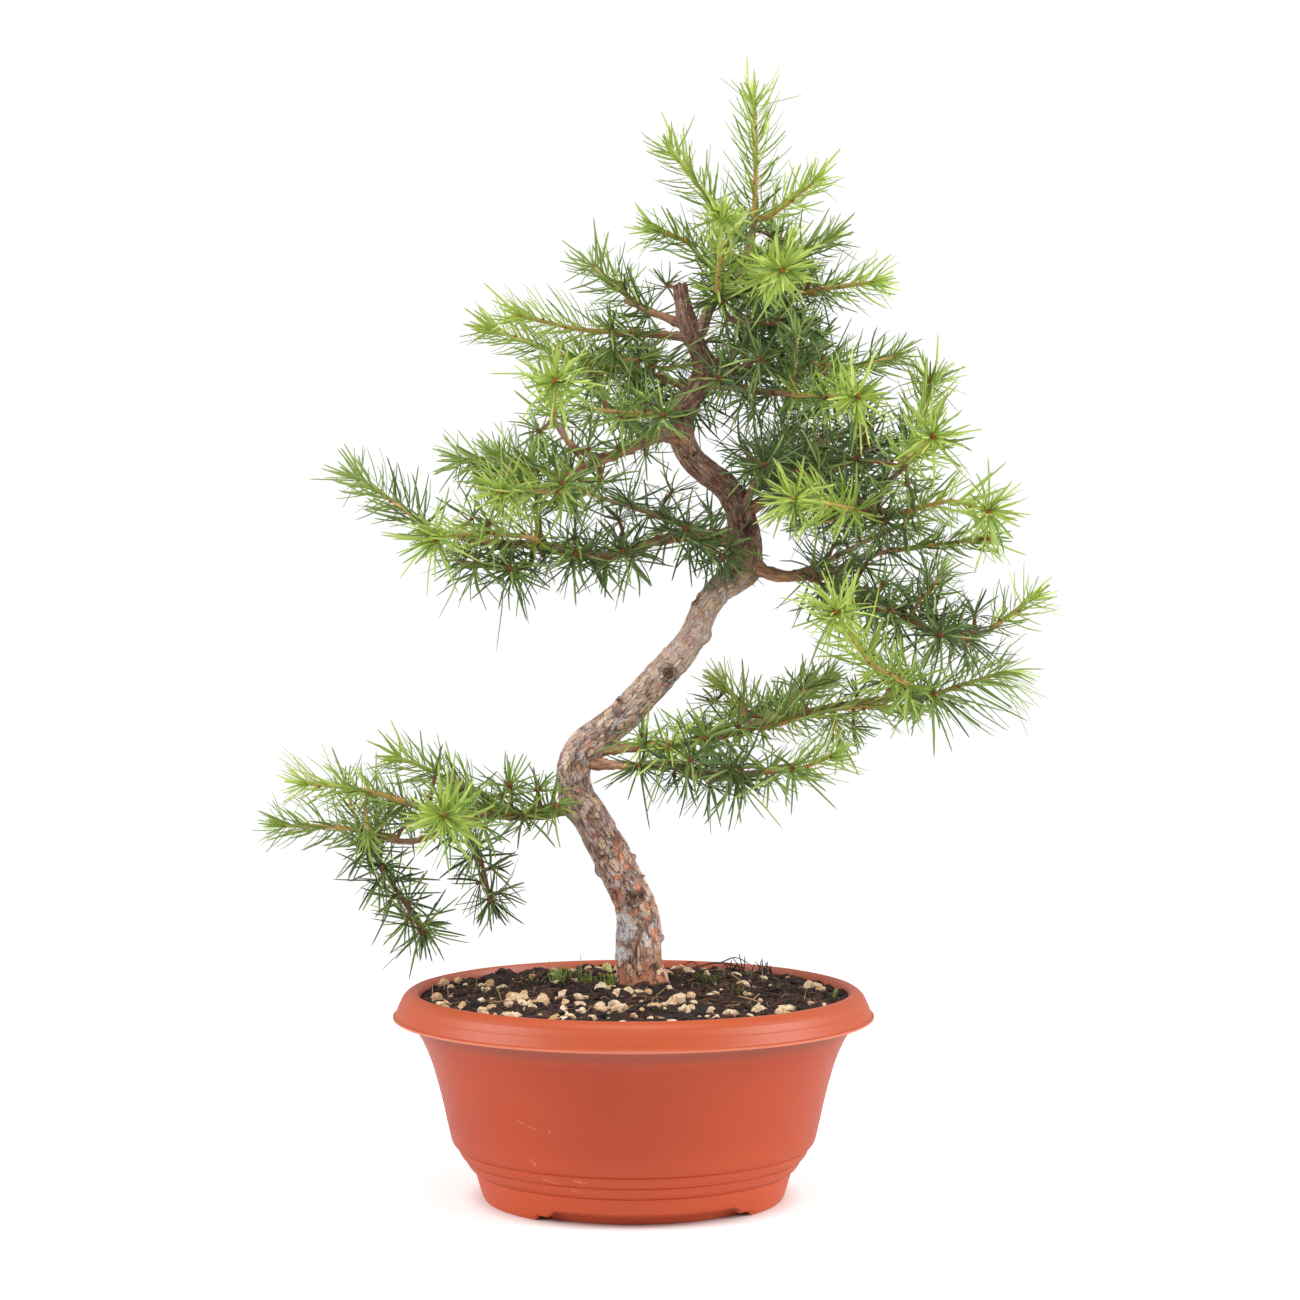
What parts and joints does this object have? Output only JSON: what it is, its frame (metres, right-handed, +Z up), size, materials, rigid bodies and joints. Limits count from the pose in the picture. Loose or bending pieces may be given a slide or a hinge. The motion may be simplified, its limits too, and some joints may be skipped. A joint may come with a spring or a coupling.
{
  "type": "larch bonsai",
  "caption": "Young larch trained as a bonsai: S-curved trunk, cut leader and soft needle shoots, growing in a round terracotta-coloured plastic training bowl of soil.",
  "frame": {"origin": "middle of the whole model's footprint, on the surface that the pot stands on; the pot's axis stands 8.6 mm to the -X side of it", "axes": "+Z up along the pot's axis, -Y the front of the tree, +X to the right seen from the front"},
  "size_m": [0.39, 0.241, 0.5565],
  "materials": {
    "pot_plastic": "satin terracotta-coloured moulded plastic, slightly scuffed",
    "soil_mix": "dark crumbly peat and bark growing mix",
    "bark": "scaly grey-brown bark with orange-brown patches",
    "pumice": "pale porous pumice grains",
    "moss": "short soft moss",
    "needles_fresh": "soft new needles, bright yellow-green",
    "needles_mid": "soft needles, mid green",
    "needles_dark": "older needles, deep green"
  },
  "bodies": {
    "root": {"pot": "pot_plastic", "soil": "soil_mix", "trunk_and_branches": "bark", "pumice_1": "pumice", "pumice_2": "pumice", "pumice_3": "pumice", "moss_1": "moss", "moss_2": "moss", "shoot_apex_leader": "needles_fresh", "shoot_top_right": "needles_fresh", "shoot_top_left": "needles_fresh", "shoot_front_upright": "needles_fresh", "shoot_upper_left_short": "needles_mid", "shoot_crown_eye": "needles_fresh", "shoot_upper_right": "needles_mid", "shoot_right_reach": "needles_fresh", "shoot_left_a": "needles_mid", "shoot_left_b": "needles_fresh", "shoot_left_c": "needles_fresh", "shoot_left_eye": "needles_fresh", "shoot_left_low": "needles_mid", "shoot_mid_left_twig": "needles_mid", "shoot_mid_left_eye": "needles_fresh", "shoot_long_left_eye": "needles_fresh", "shoot_long_left_far": "needles_mid", "shoot_long_left_spurs": "needles_dark", "shoot_long_left_inner": "needles_dark", "shoot_trunk_front": "needles_dark", "shoot_right_upper": "needles_mid", "shoot_right_middle_eye": "needles_fresh", "shoot_right_far_pair": "needles_fresh", "shoot_right_front_eye": "needles_fresh", "shoot_right_out_eye": "needles_fresh", "shoot_right_low": "needles_mid", "shoot_crown_heart": "needles_dark", "shoot_crown_inner_top": "needles_dark", "shoot_crown_upper_fill": "needles_dark", "shoot_low_crown_inner": "needles_dark", "shoot_low_crown_spurs": "needles_dark", "shoot_low_crown_tip": "needles_fresh", "shoot_low_crown_eye": "needles_fresh", "shoot_low_right_foot": "needles_fresh", "shoot_low_right_sub_a": "needles_fresh", "shoot_low_right_middle": "needles_mid", "shoot_low_right_tip": "needles_mid", "shoot_low_right_under_a": "needles_dark", "shoot_low_right_under_b": "needles_mid", "shoot_low_left_base": "needles_mid", "shoot_low_left_eye": "needles_fresh", "shoot_low_left_upper": "needles_fresh", "shoot_low_left_reach": "needles_fresh", "shoot_low_left_lowest": "needles_mid", "shoot_low_left_hang_a": "needles_dark", "shoot_low_left_hang_b": "needles_dark", "shoot_back_top": "needles_mid", "shoot_back_low_crown": "needles_dark", "shoot_back_low_right": "needles_mid", "shoot_back_upper": "needles_dark", "shoot_back_right": "needles_dark", "shoot_back_left": "needles_dark"}
  },
  "joints": []
}
